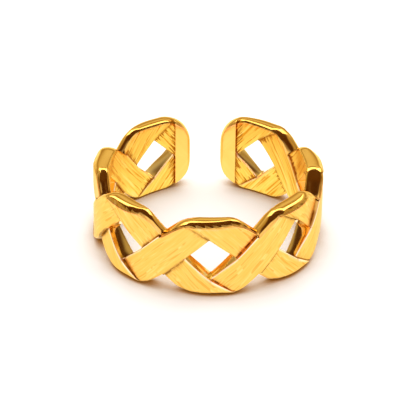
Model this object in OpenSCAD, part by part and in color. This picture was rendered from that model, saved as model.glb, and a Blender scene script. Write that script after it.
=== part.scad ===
// Open braided band ring, cast in one piece.
// Two flat strips zigzag round the finger. At each crossing the rising strip lies on top, and at each fold
// the falling strip laps over the rising one. Between the crossings the band is open in diamond holes, and
// a plain plate closes the braid at each end of the band.
// The ring lies on its lower rim: +Z is along the finger, the origin is on the ring's axis at that rim, and
// the opening faces +Y. Angles are counted round the finger from the front, which faces -Y, and lengths
// round the finger are measured close under the band's outer face.

/* [Finger hole] */
// Inner radius of the ring, where a strip lies on top
finger_r = 8.65; // [7.5:0.05:11]
// Opening between the two ends of the band
gap_w = 3.1; // [2:0.1:5]

/* [Band] */
// Width of the band along the finger
band_w = 7.2; // [6.6:0.05:8]
// Thickness of the band, where a strip lies on top
wall = 1.6; // [1.4:0.05:2.4]
// Bevel along the upper and lower rims
rim_bevel = 0.3; // [0.1:0.02:0.4]
// Bevel round the holes
hole_bevel = 0.1; // [0.04:0.01:0.2]

/* [Braid] */
// Number of folds along each rim
folds = 7; // [5:2:7]
// Length of each fold, along the rim
fold_l = 4.9; // [4:0.1:6]
// Height of the band at a crossing, from notch to notch
crossing_h = 4.3; // [3.4:0.05:4.6]
// Width of each diamond hole, round the finger
hole_w = 4.55; // [3.6:0.05:4.8]
// Height of each diamond hole, along the finger
hole_h = 3.95; // [3.4:0.05:4.4]
// Length over which the corners of the strips' outlines are rounded
corner_l = 0.5; // [0.2:0.05:0.8]

/* [Laps] */
// How far the rising strip stands above the falling one at a crossing, outside
crossing_step = 0.4; // [0.2:0.05:0.5]
// How far the falling strip stands above the rising one at a fold, outside
fold_step = 0.5; // [0.2:0.05:0.6]
// How far the upper strip stands above the lower one, inside
inner_step = 0.15; // [0.05:0.05:0.3]

/* [End plates] */
// Length of each end plate, round the finger
plate_l = 1.7; // [1.5:0.05:2.5]
// Distance from the last hole's corner to the end plate
plate_margin = 0.25; // [0.2:0.05:0.5]
// Length of the rounding of the band's corners at the opening
end_corner_l = 2.8; // [1:0.1:3]
// Height of the rounding of the band's corners at the opening
end_corner_h = 2.6; // [1:0.1:2.8]
// Rounding of an end plate's faces toward the opening
plate_round = 0.4; // [0.1:0.05:0.5]

/* [Hidden] */

// The band's outer face, the circle along which the braid is laid out, and the middle of the band's height
outer_r = finger_r + wall;
layout_r = outer_r - crossing_step / 2;
half_w = band_w / 2;

// Length from the front, where the middle hole is, to the end of the band, and the spacing of the crossings
// that it leaves. A hole and a fold lie halfway between two crossings.
end_l = (180 - asin(gap_w / 2 / layout_r)) / 180 * PI * layout_r;
pitch_l = (end_l - plate_l - plate_margin - hole_w / 2) / (folds - 1) * 2;
half_l = pitch_l / 2;
// Distances from a crossing: to the corners of the holes beside it, to the start of a fold, and to the end
// plate that takes the place of the last crossing
near_l = (pitch_l - hole_w) / 2;
fold_start = (pitch_l - fold_l) / 2;
plate_at = near_l - plate_margin;

// The rising strip's upper edge, from the lower fold through a crossing to the upper fold, with the crossing
// at x = 0. Its lower edge and both edges of the falling strip are the same line, turned or mirrored.
edge_line = [
    [-(pitch_l + fold_l) / 2, -half_w],
    [-half_l, -hole_h / 2],
    [-near_l, 0],
    [0, crossing_h / 2],
    [fold_start, half_w]
];

// Number of cuts through the band, for the stretch from a crossing to a hole, the stretch along half a hole,
// and an end plate
cuts_near = 5;
cuts_hole = 5;
cuts_plate = 7;
// Width of the slope between two levels, and room that a lap's line keeps from a bevel
slope = 0.08;
room = 0.1;
tiny = 0.001;
// The corners' rounding, which leaves each half of the band's end high enough for its bevels and lap line
corner_h = min(end_corner_h, half_w - rim_bevel - hole_bevel - 2 * room - slope);

function degrees(length) = length / layout_r * 180 / PI;
function mean(values) = values * [for (v = values) 1] / len(values);
function reversed(list) = [for (i = [len(list) - 1:-1:0]) list[i]];
// Height of the edge line at a distance from the crossing, with its corners rounded
function edge(u) = mean([for (k = [-2:2]) lookup(u + k / 2 * corner_l, edge_line)]);
// How deep each strip lies under the upper level, as [inside, outside], at a distance from a crossing. Its
// level changes softly beside a hole, between the hole's near corner and its middle.
function share(u) = (1 - cos(180 * max(0, min(1, (u - near_l) / (half_l - near_l))))) / 2;
function rising_depth(u) = share(u) * [inner_step, fold_step];
function falling_depth(u) = (1 - share(u)) * [inner_step, crossing_step];
// How far the rims draw in near the opening, at a distance from the band's end
function corner_drop(distance) =
    let (t = 1 - min(distance / end_corner_l, 1))
    corner_h * (1 - sqrt(1 - t * t));

// One leg of a cut, from low to high, as [radius, z] points. The lap's line parts the leg in a lower stretch
// and an upper one, which lie at their own depths. The first and last points are on the wall of a hole.
function leg(low, high, lap, below, above, bevel, inset = 0) =
    let (
        line = max(low + hole_bevel + room, min(high - rim_bevel - room, lap)),
        out_below = outer_r - below[1] - inset,
        out_above = outer_r - above[1] - inset,
        in_below = finger_r + below[0] + inset,
        in_above = finger_r + above[0] + inset,
        rim = min(rim_bevel, 0.4 * (out_above - in_above))
    )
    [
        [out_below - bevel, low],
        [out_below, low + hole_bevel],
        [out_below, line - slope / 2],
        [out_above, line + slope / 2],
        [out_above, high - rim_bevel],
        [out_above - rim, high],
        [in_above + rim, high],
        [in_above, high - rim_bevel],
        [in_above, line + slope / 2],
        [in_below, line - slope / 2],
        [in_below, low + hole_bevel],
        [in_below + bevel, low]
    ];

// Height of the line of the lap that shows in the upper half: the rising strip's upper edge before the
// crossing, and the lower edge of the next falling strip after it
function lap_line(u) = u < 0 ? edge(u) : -edge(u - pitch_l);

// Upper leg of a cut through the braid, at a distance from the nearest crossing, with its rim drawn in by the
// drop. The lower leg is the upper one at the opposite distance, turned about the crossing.
function braid_leg(u, drop) =
    let (
        beside_hole = abs(u) > near_l + tiny,
        low = beside_hole ? max(tiny, -edge(-abs(u))) : 0,
        all_falling = u < -near_l - tiny || u > half_l - tiny,
        rising = rising_depth(abs(u)),
        falling = falling_depth(u < 0 ? -u : pitch_l - u),
        below = all_falling ? falling : rising,
        above = u >= 0 && u <= fold_start ? rising : falling
    )
    leg(low, edge(abs(u)) - drop, lap_line(u), below, above, abs(u) > near_l - tiny ? hole_bevel : 0);

// Upper leg of a cut through an end plate, at a distance from the band's end. The lap's line runs on from
// the braid, on the side that is given.
function plate_leg(distance, side) =
    let (
        near = 1 - min(distance / plate_round, 1),
        inset = plate_round * (1 - sqrt(1 - near * near))
    )
    leg(0, half_w - corner_drop(distance), lap_line(side * plate_at), [0, 0], [0, 0], 0, inset);

// A whole cut at an angle, as two loops of points in space: the upper leg, and the turned one below it
function loop(angle, points) = [
    for (p = points) [p.x * sin(angle), -p.x * cos(angle), half_w + p.y]
];
function turned(points) = reversed([for (p = points) [p.x, -p.y]]);
function cut(angle, upper, lower) = [loop(angle, upper), loop(angle, turned(lower))];

// All cuts, from the end plate at -X round the front to the one at +X, each as [open, loops]. A cut is open
// when a hole starts there or runs on to the next cut.
function braid_cut(crossing, u) =
    let (length = crossing * pitch_l + u, drop = corner_drop(end_l - abs(length)))
    [
        u < -near_l - tiny || u > near_l - tiny,
        cut(degrees(length), braid_leg(u, drop), braid_leg(-u, drop))
    ];
function plate_cut(side, distance) = [
    false,
    cut(
        degrees(side * (end_l - distance)),
        plate_leg(distance, -side),
        plate_leg(distance, side)
    )
];
after = [
    for (i = [0:cuts_near - 1]) near_l * i / cuts_near,
    for (i = [0:cuts_hole - 1]) near_l + (half_l - near_l) * i / cuts_hole
];
before = [-half_l, for (u = reversed([for (i = [1:len(after) - 1]) after[i]])) -u];
plate_distances = [
    for (i = [0:cuts_plate]) plate_l * (1 - cos(90 * i / cuts_plate))
];
cuts = [
    for (d = plate_distances) plate_cut(-1, d),
    braid_cut(-folds / 2, plate_at + slope),
    for (u = after) if (u > plate_at + slope) braid_cut(-folds / 2, u),
    for (c = [1:folds - 1]) for (u = concat(before, after)) braid_cut(c - folds / 2, u),
    for (u = before) if (u < -plate_at - slope) braid_cut(folds / 2, u),
    braid_cut(folds / 2, -plate_at - slope),
    for (d = reversed(plate_distances)) plate_cut(1, d)
];

// The solid through all cuts. The wall that joins a loop's last point to its first is there only beside a
// hole; elsewhere the two loops share those points, and the metal runs on between them. Each cap starts at
// the rim, from where all its other points are in sight.
module sweep() {
    n = len(cuts[0][1][0]);
    last = len(cuts) - 1;
    points = [for (c = cuts) for (loop = c[1]) each loop];
    sides = [
        for (i = [0:last - 1]) for (leg = [0, 1]) for (j = [0:n - 1])
            if (j < n - 1 || cuts[i][0])
                let (
                    a = (2 * i + leg) * n + j,
                    b = (2 * i + leg) * n + (j + 1) % n,
                    next = 2 * n
                )
                each [[a, b, b + next], [a, b + next, a + next]]
    ];
    rim = 5;
    caps = [
        for (leg = [0, 1])
            let (first = leg == 0 ? rim : n - 1 - rim)
            each [
                [for (j = [n:-1:1]) leg * n + (first + j) % n],
                [for (j = [0:n - 1]) (2 * last + leg) * n + (first + j) % n]
            ]
    ];
    polyhedron(points, concat(sides, caps), convexity = 6);
}

module braided_band() {
    color("gold") sweep();
}

braided_band();
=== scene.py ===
import math

import bpy
import numpy as np
from mathutils import Matrix, Vector


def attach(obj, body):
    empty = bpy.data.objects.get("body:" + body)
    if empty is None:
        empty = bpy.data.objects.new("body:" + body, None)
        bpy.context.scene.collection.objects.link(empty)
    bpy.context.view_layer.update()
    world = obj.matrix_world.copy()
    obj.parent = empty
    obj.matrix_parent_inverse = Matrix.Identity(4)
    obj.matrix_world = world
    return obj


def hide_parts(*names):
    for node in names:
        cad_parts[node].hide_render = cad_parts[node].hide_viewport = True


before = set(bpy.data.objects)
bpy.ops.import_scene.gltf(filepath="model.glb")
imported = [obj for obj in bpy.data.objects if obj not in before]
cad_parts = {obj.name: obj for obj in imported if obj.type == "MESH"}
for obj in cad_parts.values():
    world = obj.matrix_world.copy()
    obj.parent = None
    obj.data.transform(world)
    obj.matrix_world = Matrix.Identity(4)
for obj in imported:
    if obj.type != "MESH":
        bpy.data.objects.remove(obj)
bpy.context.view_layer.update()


# The camera. It looks down on the ring from the front, 31 degrees above the table, through a long lens,
# and leans over by less than a degree, as the photograph does.
camera_height = math.radians(31.01)
camera_turn = math.radians(-1.86)
camera_roll = math.radians(0.75)
camera_distance = 0.1962
ring_middle = Vector((0, 0, 0.0035))

back = Vector((0, -math.cos(camera_height), math.sin(camera_height)))
back.rotate(Matrix.Rotation(camera_turn, 3, "Z"))
level_right = Vector((math.cos(camera_turn), math.sin(camera_turn), 0))
level_up = back.cross(level_right)
right = math.cos(camera_roll) * level_right + math.sin(camera_roll) * level_up
up = math.cos(camera_roll) * level_up - math.sin(camera_roll) * level_right

camera = bpy.data.objects.new("camera", bpy.data.cameras.new("camera"))
bpy.context.scene.collection.objects.link(camera)
camera.matrix_world = Matrix.Translation(ring_middle + camera_distance * back) @ Matrix(
    (right, up, back)).transposed().to_4x4()
camera.data.lens = 190.1
camera.data.sensor_width = 36
camera.data.shift_x = 0.001
camera.data.shift_y = -0.0172
camera.data.clip_start = 0.01
camera.data.clip_end = 10
bpy.context.scene.camera = camera


# The braid. Two flat strips of gold-plated brass zigzag round the finger and lap over each other, cast as
# one piece with the end plates. The rising strip lies on top at a crossing, and the falling one at a fold.
# Sizes are in millimetres, and lengths round the finger are measured close under the outer face.
finger_r = 8.65
wall = 1.6
outer_r = finger_r + wall
layout_r = outer_r - 0.2
band_w = 7.2
gap_w = 3.1
folds = 7
fold_l = 4.9
crossing_h = 4.3
hole_w = 4.55
hole_h = 3.95
plate_l = 1.7
plate_margin = 0.25

# What follows from these: the length from the front to the band's end, the spacing of the crossings, and the
# distances from a crossing to the holes beside it, to the start of a fold and to an end plate
half_w = band_w / 2
end_l = (math.pi - math.asin(gap_w / 2 / layout_r)) * layout_r
pitch_l = (end_l - plate_l - plate_margin - hole_w / 2) / (folds - 1) * 2
half_l = pitch_l / 2
near_l = (pitch_l - hole_w) / 2
fold_start = (pitch_l - fold_l) / 2
plate_at = near_l - plate_margin
tiny = 1e-6

# The rising strip's upper edge, from the lower fold through a crossing to the upper fold, as distances from
# the crossing and heights from the band's middle
edge_x = [-(pitch_l + fold_l) / 2, -half_l, -near_l, 0, fold_start]
edge_z = [-half_w, -hole_h / 2, 0, crossing_h / 2, half_w]
# Half the length over which the edge's corners are rounded, beside a hole and by the rim, and the distance
# from a crossing at which it is the rim's
corner_by_hole = 0.3
corner_by_rim = 0.8
corner_change_l = 0.8
corner_samples = 15


def smooth(a, b, x):
    t = min(max((x - a) / (b - a), 0), 1)
    return t * t * (3 - 2 * t)


def edge(u):
    """Height of the rising strip's upper edge at a distance from a crossing. The lower edge and both edges of
    the falling strip are the same line, turned or mirrored."""
    round_l = corner_by_hole + (corner_by_rim - corner_by_hole) * smooth(0, corner_change_l, u)
    return np.mean(np.interp(u + round_l * np.linspace(-1, 1, corner_samples), edge_x, edge_z))


def lap_line(u):
    """Height of the line along which one strip laps over the other, in the upper half of the band."""
    return edge(u) if u < 0 else -edge(u - pitch_l)


# How far the upper strip stands above the lower one: outside at a crossing and at a fold, and inside
crossing_step = 0.32
fold_step = 0.32
inner_step = 0.15
# The strips change levels between this distance from a crossing and the middle of a hole
level_change_at = 0.6 * near_l


def share(u):
    """How far the levels have changed over at a distance from a crossing."""
    t = min(max((u - level_change_at) / (half_l - level_change_at), 0), 1)
    return (1 - math.cos(math.pi * t)) / 2


def rising_depth(u):
    """How deep the rising strip lies under the upper level, inside and outside."""
    return share(u) * np.array([inner_step, fold_step])


def falling_depth(u):
    """How deep the falling strip lies under the upper level, inside and outside."""
    return (1 - share(u)) * np.array([inner_step, crossing_step])


# Rounding of the rims outside. It is broad where the falling strip is bent over at a fold, with a size of its
# own at the back and at the lower rim, and sharp where the strips slant down to a crossing.
rim_soft = 0.66
rim_soft_back = 0.42
rim_soft_below = 0.62
rim_sharp = 0.28
# Rounding of the rims inside, at the front and at the back
rim_in = 0.2
rim_in_back = 0.17
# How far the rim's top is crowned along a fold and where it slants, how deep the crown reaches, and where its
# ridge lies along a fold and where it slants, as a share of the thickness from the inside
rim_crown = 0.1
slant_crown = 0.24
crown_height = 0.5
fold_ridge = 0.35
slant_ridge = 0.5
# Where a fold's broad rounding sets in and runs out, from the fold's middle. It begins behind the lap.
soft_from = (-2.1, -0.9)
soft_to = (2.2, 3.2)


def fold_share(u):
    """How far a place on the rim, at a distance from a crossing, belongs to the nearest fold."""
    from_middle = u - half_l if u > 0 else u + half_l
    return smooth(*soft_from, from_middle) * (1 - smooth(*soft_to, from_middle))


def rim_wander(length):
    """The rims are polished by hand, and their rounding is not quite the same all along."""
    return 1 + 0.07 * math.sin(1.3 * length) + 0.06 * math.sin(2.9 * length + 1)


# Rounding of the holes' edges, and crown of the holes' walls
hole_round = 0.12
wall_crown = 0.05
# A lap's slope: its width, how close its middle may come to either end of a face, and how much of the room
# up to there it may fill. Then, as shares of the slope: where its rows of points lie, the width and height
# of the steep wall at its foot, and how far the bright edge lies from its middle. Last, that edge's width.
lap_width = 0.13
lap_room = 0.05
lap_fill = 0.7
lap_rows = np.array([0, 0.13, 0.3, 0.5, 0.7, 0.87, 1])
lap_wall_w = 0.28
lap_wall_h = 0.65
lap_edge_at = 0.35
lap_edge_width = 0.06
# Heights of a lap that count as a full one, widths of the painted shade at its foot, outside and inside, and
# how far the dark roots of the brushing reach from it
full_lap = {"outside": 0.3, "inside": 0.15}
foot_width = {"outside": 0.09, "inside": 0.144}
root_l = 0.9
# Rows of points across each part of a leg: below and above the lap outside and inside, on the rim's top and
# on the hole's wall. They lie closer together on the roundings of the hole and the rim.
rows_out = (20, 15)
rows_in = (12, 11)
rows_top = 6
rows_wall = 5
hole_weight = 3
rim_weight = 3.2


def lap_rise(x):
    """How far a lap's slope has risen: a short steep wall at the foot, and a soft edge above it."""
    steep = lap_wall_h * x / lap_wall_w
    soft = lap_wall_h + (1 - lap_wall_h) * np.sqrt(np.maximum(0, 1 - ((1 - x) / (1 - lap_wall_w)) ** 2))
    return np.where(x < lap_wall_w, steep, soft)


def face_path(face, low, high, line, below, above, level, bevel, rim, rim_depth, marked):
    """One face of a leg, from the hole's edge over the strips and round the rim to the top. Its lower stretch
    and its upper one lie at their own depths under the face's level, and meet at the lap's line."""
    inward = 1 if face == "outside" else -1
    rows_low, rows_high = rows_out if face == "outside" else rows_in
    hole_arc = hole_round * 1.3
    flat = high - rim - low - hole_round
    rim_arc = rim * math.pi / 2
    whole = hole_arc + flat + rim_arc
    if line < high - rim:
        lap_at = hole_arc + line - low - hole_round
    else:
        lap_at = hole_arc + flat + rim * math.asin(min((line - high + rim) / rim, 1))
    lap_at = min(max(lap_at, lap_room), whole - lap_room)
    width = min(lap_width, lap_fill * lap_at, lap_fill * (whole - lap_at))
    marks = np.array([0, hole_arc, hole_arc + flat, whole])
    weights = np.cumsum([0, hole_weight * hole_arc, flat, rim_weight * rim_arc])

    def spread(start, end, count):
        steps = np.linspace(*np.interp([start, end], marks, weights), count + 1)
        return np.interp(steps, weights, marks)

    q = np.concatenate([
        spread(0, lap_at - width / 2, rows_low)[:-1],
        lap_at - width / 2 + width * lap_rows,
        spread(lap_at + width / 2, whole, rows_high)[1:],
    ])
    x = np.clip((q - lap_at) / width + 0.5, 0, 1)
    rise = lap_rise(x) if below > above else 1 - lap_rise(1 - x)
    depth = below + (above - below) * rise

    # A lap faces the hole, as -1, where the strip by the rim is the upper one, and else the rim, as 1
    facing = -1 if below > above else 1
    height_share = min(abs(below - above) / full_lap["outside"], 1)
    shade = facing * max(min(abs(below - above) / full_lap[face], 1), marked)
    # the shade painted along the lap's foot, broader where a lap that faces down hides its foot
    foot_at = lap_at + facing * width / 2
    from_foot = np.abs(q - foot_at)
    beyond_foot = facing * (q - foot_at)
    hidden_width = foot_width[face] + 0.6 * abs(below - above)
    from_edge = np.abs(q - lap_at + facing * lap_edge_at * width)
    roots = np.where(beyond_foot > -0.01, np.clip(1 - beyond_foot / root_l, 0, 1), 0)

    # Round the hole's edge, up the face and round the rim
    hole_t = np.clip(q / hole_arc, 0, 1)
    rim_t = np.clip((q - hole_arc - flat) / rim_arc, 0, 1) * math.pi / 2
    on_flat = np.clip(q - hole_arc, 0, flat)
    on_rim = q - hole_arc - flat
    z = low + hole_round * (1 - np.cos(hole_t * math.pi / 2)) + on_flat + rim * np.sin(rim_t)
    depth = depth + bevel * (1 - np.sin(hole_t * math.pi / 2)) + rim_depth * (1 - np.cos(rim_t))
    polish = np.maximum((hole_arc - q) * (bevel / hole_round), np.where(on_rim > 0, on_rim / rim_arc, on_rim))
    hole_edge = np.clip(1.2 - np.abs(hole_t - 0.5) / 0.5, 0, 1) * (q < 1.5 * hole_arc)
    return {
        "radius": level - inward * depth,
        "height": z,
        "polish": np.where((x > 0) & (x < 1), np.maximum(polish, height_share), polish),
        "foot": shade * np.clip(1 - from_foot / foot_width[face], 0, 1),
        "hidden_foot": shade * np.clip(1.2 - from_foot / hidden_width, 0, 1),
        "reach": min(abs(below - above) / full_lap[face], 1) * roots,
        "lap_edge": facing * height_share * np.clip(1.4 - from_edge / lap_edge_width, 0, 1),
        "hole_edge": bevel / hole_round * hole_edge,
        "upper": q > lap_at,
    }


def leg(low, high, line, below, above, bevel, inset, rim_out, rim_inside, marked=0, round_top=0.5):
    """One leg of a cut, from the hole's outer edge up, over the rim, down to its inner edge and out along its
    wall. The depths of the two strips are pairs, inside and outside."""
    out_level = outer_r - inset
    in_level = finger_r + inset
    thickness = out_level - above[1] - in_level - above[0]
    room = min(1, 0.92 * thickness / (rim_out + rim_inside))
    outside = face_path(
        "outside", low, high, line, below[1], above[1], out_level, bevel, rim_out, room * rim_out, marked)
    inside = face_path(
        "inside", low, high, line, below[0], above[0], in_level, bevel, rim_inside, room * rim_inside, marked)

    def all_round(name, on_top, on_wall):
        return np.concatenate([
            outside[name],
            np.broadcast_to(on_top, rows_top),
            inside[name][::-1],
            np.broadcast_to(on_wall, rows_wall),
        ])

    top = np.linspace(outside["radius"][-1], inside["radius"][-1], rows_top + 2)[1:-1]
    hole_wall = np.linspace(inside["radius"][0], outside["radius"][0], rows_wall + 2)[1:-1]
    across_wall = np.linspace(-1, 1, rows_wall + 2)[1:-1]
    wall_height = low - min(wall_crown, 0.5 * low) * (bevel / hole_round) * (1 - across_wall ** 2)
    made = {}
    for name in ("foot", "hidden_foot", "reach", "lap_edge", "hole_edge"):
        made[name] = all_round(name, 0.0, 0.0)
    made["polish"] = all_round("polish", 1.0, 1.0)
    made["upper"] = all_round("upper", True, False)
    radius = all_round("radius", top, hole_wall)
    height = all_round("height", high, wall_height)

    # The rim's top is slightly crowned along a fold, and rounder where it slants
    ridge = in_level + above[0] + (fold_ridge + (slant_ridge - fold_ridge) * round_top) * thickness
    from_ridge = np.clip((radius - ridge) / (thickness / 2), -1.15, 1.3)
    at_top = np.clip((height - high + crown_height) / crown_height, 0, 1)
    crown = rim_crown + (slant_crown - rim_crown) * round_top
    made["radius"] = radius
    made["height"] = height - crown * from_ridge ** 2 * at_top ** 2 * (3 - 2 * at_top)
    return made


def with_strips(made, lower_rises, upper_rises):
    """Marks which points of a leg lie on the rising strip."""
    made["rises"] = np.where(made["upper"], upper_rises, lower_rises)
    return made


# The end plates. Cast with the braid, they are plain plates as thick as the band, with rounded corners and
# soft edges toward the opening. Inside, a groove parts them from the strips.
end_corner_l = 2.8
end_corner_h = 2.6
plate_round = 0.5
plate_rim = 0.6
plate_rim_in = 0.4
groove_l = 0.06
groove_depth = 0.035
# Length over which the braid's outer faces and rims run into the plate's
plate_blend_l = 1.2


def corner_drop(distance):
    """How far the rims draw in near the opening, at a distance from the band's end."""
    t = 1 - min(distance / end_corner_l, 1)
    return end_corner_h * (1 - math.sqrt(1 - t * t))


def plate_leg(distance, side):
    """The upper leg of a cut through an end plate, at a distance from the band's end."""
    near = 1 - min(distance / plate_round, 1)
    inset = plate_round * (1 - math.sqrt(1 - near * near))
    level = np.array([0.0, 0.0])
    made = leg(
        0, half_w - corner_drop(distance), lap_line(side * plate_at), level, level, 0, inset, plate_rim,
        plate_rim_in)
    return with_strips(made, True, side > 0)


# The cast ring. Plates and braid are one closed skin over a row of cuts, from the plate at the left round the
# front to the plate at the right. Each cut has an upper leg and a lower one, which is the upper one of the
# opposite distance, turned. The two meet in the band's middle, or face each other across a hole.
least_height = 0.002
crossing_blend_l = 0.15
hole_edge_from = near_l - 0.12
hole_edge_full = near_l + 0.02
mark_blend_l = 0.1
fold_lap_shade = 0.8


def braid_leg(u, length, beside_plate, soft, groove):
    """The upper leg of a cut through the braid, at a distance from the nearest crossing."""
    away = abs(u)
    low = max(least_height, -edge(-away)) if away > near_l + tiny else 0
    high = half_w if beside_plate and away < half_l else edge(away)
    high -= corner_drop(end_l - abs(length))
    all_falling = u < -near_l - tiny or u > half_l - tiny
    rising = rising_depth(away)
    falling = falling_depth(-u if u < 0 else pitch_l - u)
    below = falling if all_falling else rising
    if u < 0:
        above = falling + (rising - falling) * smooth(-crossing_blend_l, 0, u)
    else:
        above = rising if u <= fold_start else falling

    to_front = (1 + math.cos(length / layout_r)) / 2
    soft = rim_soft_back + (soft - rim_soft_back) * to_front
    rim_out = rim_sharp + (soft - rim_sharp) * fold_share(u) * rim_wander(length)
    rim_inside = rim_in_back + (rim_in - rim_in_back) * to_front
    if beside_plate:
        from_plate = smooth(plate_at, plate_at + plate_blend_l, away)
        below = below * np.array([1, from_plate])
        above = above * np.array([1, from_plate])
        rim_out = plate_rim + (rim_out - plate_rim) * from_plate
        rim_inside = plate_rim_in + (rim_inside - plate_rim_in) * from_plate
    sunk = np.array([groove, 0])
    bevel = hole_round * smooth(hole_edge_from, hole_edge_full, away)
    marked = fold_lap_shade * smooth(fold_start - mark_blend_l, fold_start + mark_blend_l, u)
    # the slants are rounder on top than the folds, and the front is rounder than the back
    slant = 1 - fold_share(u) * (0.1 + 0.9 * to_front ** 2)
    round_top = slant * (0.4 + 0.6 * to_front ** 0.5)
    made = leg(
        low, high, lap_line(u), below + sunk, above + sunk, bevel, 0, rim_out, rim_inside, marked, round_top)
    return with_strips(made, not all_falling, 0 <= u <= fold_start)


cells_near = 20
cells_hole = 20
cells_plate = 18
near_cuts = near_l * np.linspace(0, 1, cells_near + 1)[:-1]
hole_cuts = near_l + (half_l - near_l) * np.linspace(0, 1, cells_hole + 1)[:-1] ** 1.3
after = np.concatenate([near_cuts, hole_cuts])
before = np.concatenate([[-half_l], -after[:0:-1]])
plate_cuts = plate_l * (1 - np.cos(np.linspace(0, math.pi / 2, cells_plate + 1)))
# Distances from the last crossing's place: the groove's bottom, its edge, and the first plain cut
groove_at = plate_at + groove_l
groove_edge = plate_at + 2.2 * groove_l
braid_from = plate_at + 3 * groove_l

cuts = []


def add_braid_cut(crossing, u, groove=0):
    """Adds a cut, which is open when a hole starts there or runs on to the next cut."""
    last = abs(crossing) > folds / 2 - 0.5
    length = crossing * pitch_l + u
    cuts.append({
        "length": length,
        "upper": braid_leg(u, length, last, rim_soft, groove),
        "lower": braid_leg(-u, length, last, rim_soft_below, groove),
        "open": u < -near_l - tiny or u > near_l - tiny,
        "plate": False,
        "groove": groove > 0,
    })


def add_plate_cut(side, distance):
    cuts.append({
        "length": side * (end_l - distance),
        "upper": plate_leg(distance, -side),
        "lower": plate_leg(distance, side),
        "open": False,
        "plate": True,
        "groove": False,
    })


for distance in plate_cuts:
    add_plate_cut(-1, distance)
add_braid_cut(-folds / 2, groove_at, groove_depth)
add_braid_cut(-folds / 2, groove_edge)
for u in after[after > braid_from]:
    add_braid_cut(-folds / 2, u)
for crossing in np.arange(1, folds) - folds / 2:
    for u in np.concatenate([before, after]):
        add_braid_cut(crossing, u)
for u in before[before < -braid_from]:
    add_braid_cut(folds / 2, u)
add_braid_cut(folds / 2, -groove_edge)
add_braid_cut(folds / 2, -groove_at, groove_depth)
for distance in plate_cuts[::-1]:
    add_plate_cut(1, distance)

# The points of all cuts, with what the finish needs to know about each: where it lies along and across its
# strip, how near it is to a polished rim, to a lap's foot where shade is painted or to an edge where a
# highlight is painted, and whether it belongs to a fold
rows = len(cuts[0]["upper"]["radius"])
out_rows = sum(rows_out) + len(lap_rows)
in_rows = sum(rows_in) + len(lap_rows)
inside_from = out_rows + rows_top
wall_from = inside_from + in_rows
is_inside = (np.arange(rows) >= inside_from) & (np.arange(rows) < wall_from)
slope_angle = math.atan2(crossing_h / 2, near_l)
# how dark the shade painted along the groove inside is
groove_shade = 0.45
points = []
surface = {"strip": [], "polish": [], "foot": [], "reach": [], "painted_highlight": [], "fold": []}
for cut in cuts:
    length = cut["length"]
    angle = length / layout_r
    from_crossing = (length / pitch_l - folds / 2) % 1 * pitch_l
    from_plate = end_l - plate_l - abs(length)
    beside_plate = 0.0 if cut["plate"] else max(0.0, 1 - from_plate / root_l)
    for flip, made in ((1, cut["upper"]), (-1, cut["lower"])):
        z = flip * made["height"]
        radius = made["radius"]
        points.append(np.stack([radius * math.sin(angle), -radius * math.cos(angle), half_w + z], 1))
        lean = np.where(made["rises"], 1, -1)
        along = length * math.cos(slope_angle) + lean * z * math.sin(slope_angle)
        across = -lean * length * math.sin(slope_angle) + z * math.cos(slope_angle)
        surface["strip"].append(np.stack([along, across, lean], 1))
        surface["polish"].append(made["polish"])
        # the foot of a lap that faces down lies behind its edge, so its painted shade is drawn broader beside
        # it
        foot = np.clip(np.maximum(flip * made["foot"], -flip * made["hidden_foot"]), 0, 1)
        surface["foot"].append(np.where(is_inside & cut["groove"], groove_shade, foot))
        surface["reach"].append(np.where(is_inside, np.maximum(made["reach"], beside_plate), made["reach"]))
        # edges that face up get a painted highlight, a paler gold where the light would catch them
        facing_up = np.maximum(flip * made["lap_edge"], made["hole_edge"] * (flip < 0))
        surface["painted_highlight"].append(np.clip(facing_up, 0, 1))
        at_fold = fold_share(from_crossing if flip > 0 else pitch_l - from_crossing)
        surface["fold"].append(np.full(rows, 0.0 if cut["plate"] else at_fold))
points = np.concatenate(points)
surface = {name: np.concatenate(values) for name, values in surface.items()}

# The faces between neighbouring cuts, turned outward, and the finish of each
on_outside, on_inside, on_plate, on_wall = range(4)
faces = []
finishes = []
for i in range(len(cuts) - 1):
    in_plate = cuts[i]["plate"] and cuts[i + 1]["plate"]
    for part in (0, 1):
        start = (2 * i + part) * rows
        for j in range(rows if cuts[i]["open"] else wall_from - 1):
            a = start + j
            b = start + (j + 1) % rows
            quad = [a, b, b + 2 * rows, a + 2 * rows]
            faces.append(quad[::-1] if part == 0 else quad)
            if in_plate:
                finishes.append(on_plate)
            elif j < out_rows + 1:
                finishes.append(on_outside)
            elif j < wall_from - 1:
                finishes.append(on_inside)
            else:
                finishes.append(on_wall)

# The ends of the band, each closed by one face
for station, order in ((0, 1), (len(cuts) - 1, -1)):
    start = 2 * station * rows
    loop = [start + j for j in range(wall_from)]
    loop += [start + rows + j for j in range(wall_from - 1, -1, -1)]
    faces.append(loop[::order])
    finishes.append(on_plate)

# Points that two cuts or two legs share are one point, and a quad that this shrinks to a line is left out
keys = np.round(points * 1e4).astype(np.int64)
_, first, same = np.unique(keys, axis=0, return_index=True, return_inverse=True)
same = same.ravel()
skin = []
skin_finishes = []
for face, finish in zip(faces, finishes):
    corners = [int(same[k]) for k in face]
    corners = [c for n, c in enumerate(corners) if c != corners[n - 1]]
    if len(corners) > 2 and (len(face) > 4 or len(set(corners)) == len(corners)):
        skin.append(corners)
        skin_finishes.append(finish)

mesh = bpy.data.meshes.new("braided_band_ring")
mesh.from_pydata((points[first] / 1000).tolist(), [], skin)
mesh.validate()
for name, values in surface.items():
    is_place = values.ndim == 2
    attribute = mesh.attributes.new(name, "FLOAT_VECTOR" if is_place else "FLOAT", "POINT")
    attribute.data.foreach_set("vector" if is_place else "value", values[first].astype(np.float32).ravel())
mesh.polygons.foreach_set("material_index", skin_finishes)
mesh.polygons.foreach_set("use_smooth", [True] * len(skin))
mesh.set_sharp_from_angle(angle=math.radians(42))
mesh.update()
ring = bpy.data.objects.new("braided_band_ring", mesh)
bpy.context.scene.collection.objects.link(ring)
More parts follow.
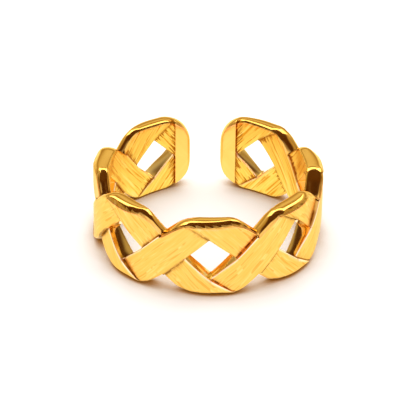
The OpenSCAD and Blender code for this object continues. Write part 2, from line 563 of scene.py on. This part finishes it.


# The gold finish of the ring. Fine strokes are brushed along the strips and run out in ragged ends at the
# polished rims, shade is painted darker at the foot of each lap, and a highlight is painted in paler gold on
# edges that face up.
gold = (0.95, 0.56, 0.125, 1)
inner_gold = (0.97, 0.64, 0.1, 1)
plate_gold = (1.0, 0.62, 0.14, 1)
rim_gold = (0.98, 0.57, 0.12, 1)
wall_gold = (0.92, 0.65, 0.24, 1)
# a paler gold, painted on edges that face up as a highlight
painted_highlight_gold = (1.0, 0.86, 0.55, 1)
streak_gold = (0.85, 0.45, 0.065, 1)
pale_gold = (1.0, 0.7, 0.23, 1)
line_gold = (0.72, 0.3, 0.015, 1)
root_brown = (0.42, 0.14, 0.006, 1)
# the colour of the shade painted at a lap's foot outside
painted_shade_brown = (0.2, 0.065, 0.003, 1)
# What gold mirrors at a flat angle keeps some of its colour
flat_angle_gold = (1.0, 0.9, 0.62, 1)
brushed_roughness = 0.34
polished_roughness = 0.09
# How far the strokes' ragged ends stray, over how much the polish begins, and how far before it the relief of
# the strokes starts to fade, all on the scale of the roundings
ragged_reach = 0.35
polish_blend = 0.06
relief_fade = 0.35
# The slanted teeth in which the polish of a fold's rim runs out on the face
tooth_width = 0.55
tooth_depth = 0.42
tooth_wander = 1.2
tooth_sharpness = 1.6
# How far apart the two strips lie in the noise that makes their strokes
strip_shift = 9.3


def feed(tree, socket, value):
    if isinstance(value, bpy.types.NodeSocket):
        tree.links.new(value, socket)
    else:
        socket.default_value = value


def maths(tree, operation, *values):
    made = tree.nodes.new("ShaderNodeMath")
    made.operation = operation
    for socket, value in zip(made.inputs, values):
        feed(tree, socket, value)
    return made.outputs[0]


def ramp(tree, value, low, high, to_low=0.0, to_high=1.0):
    made = tree.nodes.new("ShaderNodeMapRange")
    made.interpolation_type = "SMOOTHSTEP"
    feed(tree, made.inputs["Value"], value)
    feed(tree, made.inputs["From Min"], low)
    feed(tree, made.inputs["From Max"], high)
    feed(tree, made.inputs["To Min"], to_low)
    feed(tree, made.inputs["To Max"], to_high)
    return made.outputs["Result"]


def noise(tree, place, scale, detail=1.0, roughness=0.5):
    made = tree.nodes.new("ShaderNodeTexNoise")
    feed(tree, made.inputs["Vector"], place)
    made.inputs["Scale"].default_value = scale
    made.inputs["Detail"].default_value = detail
    made.inputs["Roughness"].default_value = roughness
    return made.outputs["Fac"]


def surface_value(tree, name, output="Fac"):
    made = tree.nodes.new("ShaderNodeAttribute")
    made.attribute_name = name
    return made.outputs[output]


def mix_colours(tree, share_of_second, first_colour, second_colour):
    made = tree.nodes.new("ShaderNodeMix")
    made.data_type = "RGBA"
    feed(tree, made.inputs["Factor"], share_of_second)
    feed(tree, made.inputs[6], first_colour)
    feed(tree, made.inputs[7], second_colour)
    return made.outputs[2]


def new_group(name, inputs, outputs):
    group = bpy.data.node_groups.new(name, "ShaderNodeTree")
    for label, number in inputs:
        socket = group.interface.new_socket(label, in_out="INPUT", socket_type="NodeSocketFloat")
        socket.default_value = number
    for label in outputs:
        group.interface.new_socket(label, in_out="OUTPUT", socket_type="NodeSocketFloat")
    return group, group.nodes.new("NodeGroupInput").outputs, group.nodes.new("NodeGroupOutput").inputs


# Strokes along a strip: soft streaks, thin cut lines in patches, the ragged ends of the brushing, the fibres
# of its dark roots, and the slanted teeth in which a fold's polish runs out on the face
strokes, given, wanted = new_group(
    "brushed strokes",
    [("Length", 3), ("Width", 0.16), ("Wander", 0.5), ("Cover", 0.5)],
    ["Streaks", "Lines", "Ragged ends", "Teeth", "Fibres"])
strip_place = surface_value(strokes, "strip", "Vector")
split_place = strokes.nodes.new("ShaderNodeSeparateXYZ")
strokes.links.new(strip_place, split_place.inputs[0])
sway = maths(
    strokes, "MULTIPLY", maths(strokes, "SUBTRACT", noise(strokes, strip_place, 0.35), 0.5), given["Wander"])
swayed = maths(strokes, "ADD", split_place.outputs["Y"], sway)


def stretched_place(length, width):
    """A place on the strip in strokes of a length and width. The two strips get strokes of their own."""
    made = strokes.nodes.new("ShaderNodeCombineXYZ")
    feed(strokes, made.inputs["X"], maths(strokes, "DIVIDE", split_place.outputs["X"], length))
    feed(strokes, made.inputs["Y"], maths(strokes, "DIVIDE", swayed, width))
    feed(strokes, made.inputs["Z"], maths(strokes, "MULTIPLY", split_place.outputs["Z"], strip_shift))
    return made.outputs[0]


streak_place = stretched_place(given["Length"], given["Width"])
strokes.links.new(noise(strokes, streak_place, 1, 4, 0.6), wanted["Streaks"])
grain = noise(strokes, stretched_place(4.0, 0.2), 1, 1)
patches = ramp(
    strokes, noise(strokes, strip_place, 0.8, 2),
    maths(strokes, "ADD", given["Cover"], 0.04), maths(strokes, "SUBTRACT", given["Cover"], 0.04))
strokes.links.new(maths(strokes, "MULTIPLY", ramp(strokes, grain, 0.56, 0.66), patches), wanted["Lines"])
strokes.links.new(noise(strokes, stretched_place(2.5, 0.5), 1, 2), wanted["Ragged ends"])
strokes.links.new(noise(strokes, stretched_place(1.3, 0.11), 1, 1), wanted["Fibres"])
tooth_at = maths(
    strokes, "MULTIPLY_ADD", noise(strokes, strip_place, 0.6), tooth_wander,
    maths(strokes, "DIVIDE", split_place.outputs["Y"], tooth_width))
tooth = maths(strokes, "POWER", maths(strokes, "FRACT", tooth_at), tooth_sharpness)
strokes.links.new(maths(strokes, "MULTIPLY", tooth, tooth_depth), wanted["Teeth"])


def new_gold(name):
    made = bpy.data.materials.new(name)
    made.use_nodes = True
    shader = made.node_tree.nodes["Principled BSDF"]
    shader.inputs["Metallic"].default_value = 1
    shader.inputs["Specular Tint"].default_value = flat_angle_gold
    return made, made.node_tree, shader


def brushed_gold(
    name, metal, length, width, wander, cover, relief, tint, line_tint, root_tint, polish_from, painted_shade_colour,
):
    """Gold brushed along the strips up to the polished rims. The relief is in millimetres, and the tints are
    how strongly the streaks, the cut lines and the roots of the brushing show."""
    made, tree, shader = new_gold(name)
    brushed = tree.nodes.new("ShaderNodeGroup")
    brushed.node_tree = strokes
    for label, number in (("Length", length), ("Width", width), ("Wander", wander), ("Cover", cover)):
        brushed.inputs[label].default_value = number
    streaks, lines, ragged, teeth, fibres = brushed.outputs

    # the polish of the rims and laps, which ends raggedly on the face
    stray = maths(tree, "SUBTRACT", ragged, 0.5)
    ends = maths(tree, "MULTIPLY_ADD", stray, ragged_reach, surface_value(tree, "polish"))
    ends = maths(tree, "MULTIPLY_ADD", teeth, surface_value(tree, "fold"), ends)
    polished = ramp(tree, ends, polish_from, polish_from + polish_blend)
    unpolished = maths(tree, "SUBTRACT", 1.0, polished)

    # dark and pale streaks and the cut lines
    colour = mix_colours(tree, polished, metal, rim_gold)
    dark_streaks = maths(tree, "MULTIPLY", ramp(tree, streaks, 0.62, 0.35, 0.0, tint), unpolished)
    colour = mix_colours(tree, dark_streaks, colour, streak_gold)
    pale_streaks = maths(tree, "MULTIPLY", ramp(tree, streaks, 0.52, 0.68, 0.0, tint), unpolished)
    colour = mix_colours(tree, pale_streaks, colour, pale_gold)
    cut_lines = maths(tree, "MULTIPLY", maths(tree, "MULTIPLY", lines, line_tint), unpolished)
    colour = mix_colours(tree, cut_lines, colour, line_gold)

    # the brushing's dark roots, the highlight painted on edges that face up and the shade painted at a lap's
    # foot
    reach = surface_value(tree, "reach")
    roots = ramp(tree, maths(tree, "MULTIPLY_ADD", reach, 0.28, fibres), 0.62, 0.72)
    roots = maths(tree, "MULTIPLY", maths(tree, "MULTIPLY", roots, ramp(tree, reach, 0.0, 0.3)), root_tint)
    colour = mix_colours(tree, roots, colour, root_brown)
    bright = surface_value(tree, "painted_highlight")
    colour = mix_colours(tree, maths(tree, "MULTIPLY", bright, 0.85), colour, painted_highlight_gold)
    dashes = ramp(tree, noise(tree, surface_value(tree, "strip", "Vector"), 1.6, 1), 0.36, 0.52, 0.45, 1.0)
    shade = maths(tree, "MULTIPLY", surface_value(tree, "foot"), dashes)
    feed(tree, shader.inputs["Base Color"], mix_colours(tree, shade, colour, painted_shade_colour))

    # the roughness and relief of the strokes, which fade toward the polish
    by_polish = ramp(tree, polished, 0.0, 1.0, brushed_roughness, polished_roughness)
    roughness = maths(tree, "MULTIPLY_ADD", bright, 0.25, by_polish)
    feed(tree, shader.inputs["Roughness"], maths(tree, "MINIMUM", roughness, brushed_roughness))
    calm = ramp(tree, ends, polish_from - relief_fade, polish_from, 1.0, 0.0)
    height = maths(tree, "MULTIPLY", maths(tree, "MULTIPLY_ADD", lines, -0.3, streaks), calm)
    bump = tree.nodes.new("ShaderNodeBump")
    bump.inputs["Distance"].default_value = relief / 1000
    feed(tree, bump.inputs["Height"], height)
    feed(tree, shader.inputs["Normal"], bump.outputs["Normal"])
    return made


def plain_gold(name, metal, roughness):
    made, tree, shader = new_gold(name)
    shader.inputs["Base Color"].default_value = metal
    shader.inputs["Roughness"].default_value = roughness
    return made


mesh.materials.append(brushed_gold(
    "brushed gold outside", gold, length=3.5, width=0.2, wander=0.3, cover=0.56, relief=0.02,
    tint=0.6, line_tint=0.7, root_tint=0.3, polish_from=0.62, painted_shade_colour=painted_shade_brown))
# inside and on the plates, the shade painted at a lap's foot takes the roots' brown
mesh.materials.append(brushed_gold(
    "brushed gold inside", inner_gold, length=4.0, width=0.22, wander=0.3, cover=0.62, relief=0.03,
    tint=0.6, line_tint=0.9, root_tint=1.0, polish_from=0.7, painted_shade_colour=root_brown))
mesh.materials.append(brushed_gold(
    "satin gold plates", plate_gold, length=6.0, width=0.5, wander=0.2, cover=0.0, relief=0.004,
    tint=0.15, line_tint=0.0, root_tint=0.0, polish_from=0.7, painted_shade_colour=root_brown))
mesh.materials.append(plain_gold("polished gold hole walls", wall_gold, 0.1))

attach(ring, "root")
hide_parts("braided_band")


# The table. A plain white sheet that runs on out of sight, with a warm shadow painted into its colour where
# the ring stands on it. In the ring's reflections it glows with painted light, as brightly as the overexposed
# photograph shows, and less so close to where the ring stands.
bpy.ops.mesh.primitive_plane_add(size=4, location=(0, 0, 0))
table = bpy.context.object
table.name = "white_table"
paper = bpy.data.materials.new("white paper")
paper.use_nodes = True
tree = paper.node_tree
shader = tree.nodes["Principled BSDF"]
rays = tree.nodes.new("ShaderNodeLightPath").outputs
shadow = tree.nodes.new("ShaderNodeAmbientOcclusion")
shadow.samples = 8
shadow.inputs["Distance"].default_value = 0.0025
paper_white = (0.88, 0.88, 0.87, 1)
shade_brown = (0.36, 0.18, 0.02, 1)
mirrored_paper = (0.15, 0.15, 0.15, 1)
mirrored_shade = (1.0, 0.6, 0.2, 1)
painted_glow_strength = 1.15
# the contact shadow is painted into the table's colour by how enclosed each spot is, warm brown close to the
# ring
warm_shadow = mix_colours(tree, ramp(tree, shadow.outputs["AO"], 0.2, 0.8), shade_brown, paper_white)
feed(tree, shader.inputs["Base Color"], mix_colours(tree, rays["Is Glossy Ray"], warm_shadow, mirrored_paper))
# for reflections the table glows with painted light, dimmed and tinted warm by a painted shade close to the
# ring
open_sky = ramp(tree, shadow.outputs["AO"], 0.2, 0.55, 0.15, 1.0)
feed(tree, shader.inputs["Emission Color"], mix_colours(tree, open_sky, mirrored_shade, (1, 1, 1, 1)))
mirrored = maths(tree, "MULTIPLY", rays["Is Glossy Ray"], painted_glow_strength)
feed(tree, shader.inputs["Emission Strength"], maths(tree, "MULTIPLY", mirrored, open_sky))
shader.inputs["Roughness"].default_value = 0.6
shader.inputs["Specular IOR Level"].default_value = 0.0
table.data.materials.append(paper)


# The light. Three softboxes stand high behind the ring and show only in the polished metal, a soft dome
# lights the table, and the metal mirrors a pale room with a dark, warm ceiling.
softbox_radiance = 2.0
for name, place, width, depth in (
    ("long softbox", (0, 0.31, 0.4), 0.45, 0.12),
    ("left softbox", (-0.24, 0.27, 0.36), 0.18, 0.18),
    ("right softbox", (0.24, 0.27, 0.36), 0.18, 0.18),
):
    softbox_light = bpy.data.lights.new(name, "AREA")
    softbox_light.shape = "RECTANGLE"
    softbox_light.size = width
    softbox_light.size_y = depth
    softbox_light.energy = softbox_radiance * math.pi * width * depth
    softbox = bpy.data.objects.new(name, softbox_light)
    softbox.location = place
    softbox.rotation_euler = (-Vector(place)).to_track_quat("-Z", "Y").to_euler()
    softbox.visible_diffuse = False
    bpy.context.scene.collection.objects.link(softbox)

# How bright the room is at each height above the horizon, in degrees. In front, a white wall reaches up to a
# dark ceiling. At the sides, the wall is low, with a pale strip higher up. At the back, a dim wall has a pale
# strip too.
front_steps = [(0, 2.6), (10, 2.4), (20, 1.4), (34, 1.2), (56, 1.1), (62, 0.06), (70, 0.03), (90, 0.08)]
side_steps = [
    (0, 2.5), (7, 2.0), (15, 0.5), (22, 0.1), (30, 0.1),
    (36, 0.55), (41, 0.5), (46, 0.08), (72, 0.1), (90, 0.1),
]
back_steps = [
    (0, 1.0), (6, 0.95), (12, 0.7), (20, 0.4), (29, 0.78),
    (33, 0.88), (38, 0.5), (48, 0.36), (66, 0.08), (90, 0.1),
]
brightest = max(bright for degrees, bright in front_steps + side_steps + back_steps)
# The dome is brighter toward its middle, which lies this far over the top from the front
dome_middle = math.radians(115)
dome_brightness = 0.9
dome_lobe = 1.7
dome_focus = 3.0
backdrop_brightness = 1.2

world = bpy.data.worlds.new("studio")
bpy.context.scene.world = world
world.use_nodes = True
sky = world.node_tree
sky.nodes.clear()
toward = sky.nodes.new("ShaderNodeTexCoord").outputs["Generated"]
split_toward = sky.nodes.new("ShaderNodeSeparateXYZ")
sky.links.new(toward, split_toward.inputs[0])
height_share = maths(sky, "DIVIDE", maths(sky, "ARCSINE", split_toward.outputs["Z"]), math.pi / 2)


def tone(bright):
    """The room's colour. Its dim parts are warm, and what is brighter than white has less green, so that gold
    mirrors it as pale gold and not as lemon yellow."""
    if bright > 1:
        return bright, 1 + 0.3 * (bright - 1), bright
    return bright, bright ** 1.45, bright ** 2.6


def room_side(steps):
    made = sky.nodes.new("ShaderNodeValToRGB")
    made.color_ramp.elements.remove(made.color_ramp.elements[1])
    for n, (degrees, bright) in enumerate(steps):
        element = made.color_ramp.elements[0] if n == 0 else made.color_ramp.elements.new(degrees / 90)
        element.position = degrees / 90
        element.color = [part / brightest for part in tone(bright)] + [1]
    sky.links.new(height_share, made.inputs[0])
    return made.outputs["Color"]


def facing_share(from_front):
    """How far a direction faces the one that lies so far over the top from the front, as a cosine."""
    made = sky.nodes.new("ShaderNodeVectorMath")
    made.operation = "DOT_PRODUCT"
    sky.links.new(toward, made.inputs[0])
    made.inputs[1].default_value = (0, -math.cos(from_front), math.sin(from_front))
    return made.outputs["Value"]


def background(colour, strength):
    made = sky.nodes.new("ShaderNodeBackground")
    feed(sky, made.inputs["Color"], colour)
    feed(sky, made.inputs["Strength"], strength)
    return made.outputs[0]


def either(share_of_second, first_shader, second_shader):
    made = sky.nodes.new("ShaderNodeMixShader")
    feed(sky, made.inputs[0], share_of_second)
    feed(sky, made.inputs[1], first_shader)
    feed(sky, made.inputs[2], second_shader)
    return made.outputs[0]


to_back = split_toward.outputs["Y"]
round_front = mix_colours(sky, ramp(sky, to_back, -0.2, -0.5), room_side(side_steps), room_side(front_steps))
room = mix_colours(sky, ramp(sky, to_back, 0.25, 0.55), round_front, room_side(back_steps))
lobe = maths(sky, "POWER", maths(sky, "MAXIMUM", facing_share(dome_middle), 0.0), dome_focus)
dome = maths(sky, "MULTIPLY_ADD", lobe, dome_lobe, dome_brightness)
rays = sky.nodes.new("ShaderNodeLightPath").outputs
white = (1, 1, 1, 1)
unseen = either(rays["Is Glossy Ray"], background(white, dome), background(room, brightest))
everything = either(rays["Is Camera Ray"], unseen, background(white, backdrop_brightness))
feed(sky, sky.nodes.new("ShaderNodeOutputWorld").inputs["Surface"], everything)

bpy.context.scene.view_settings.view_transform = "Standard"
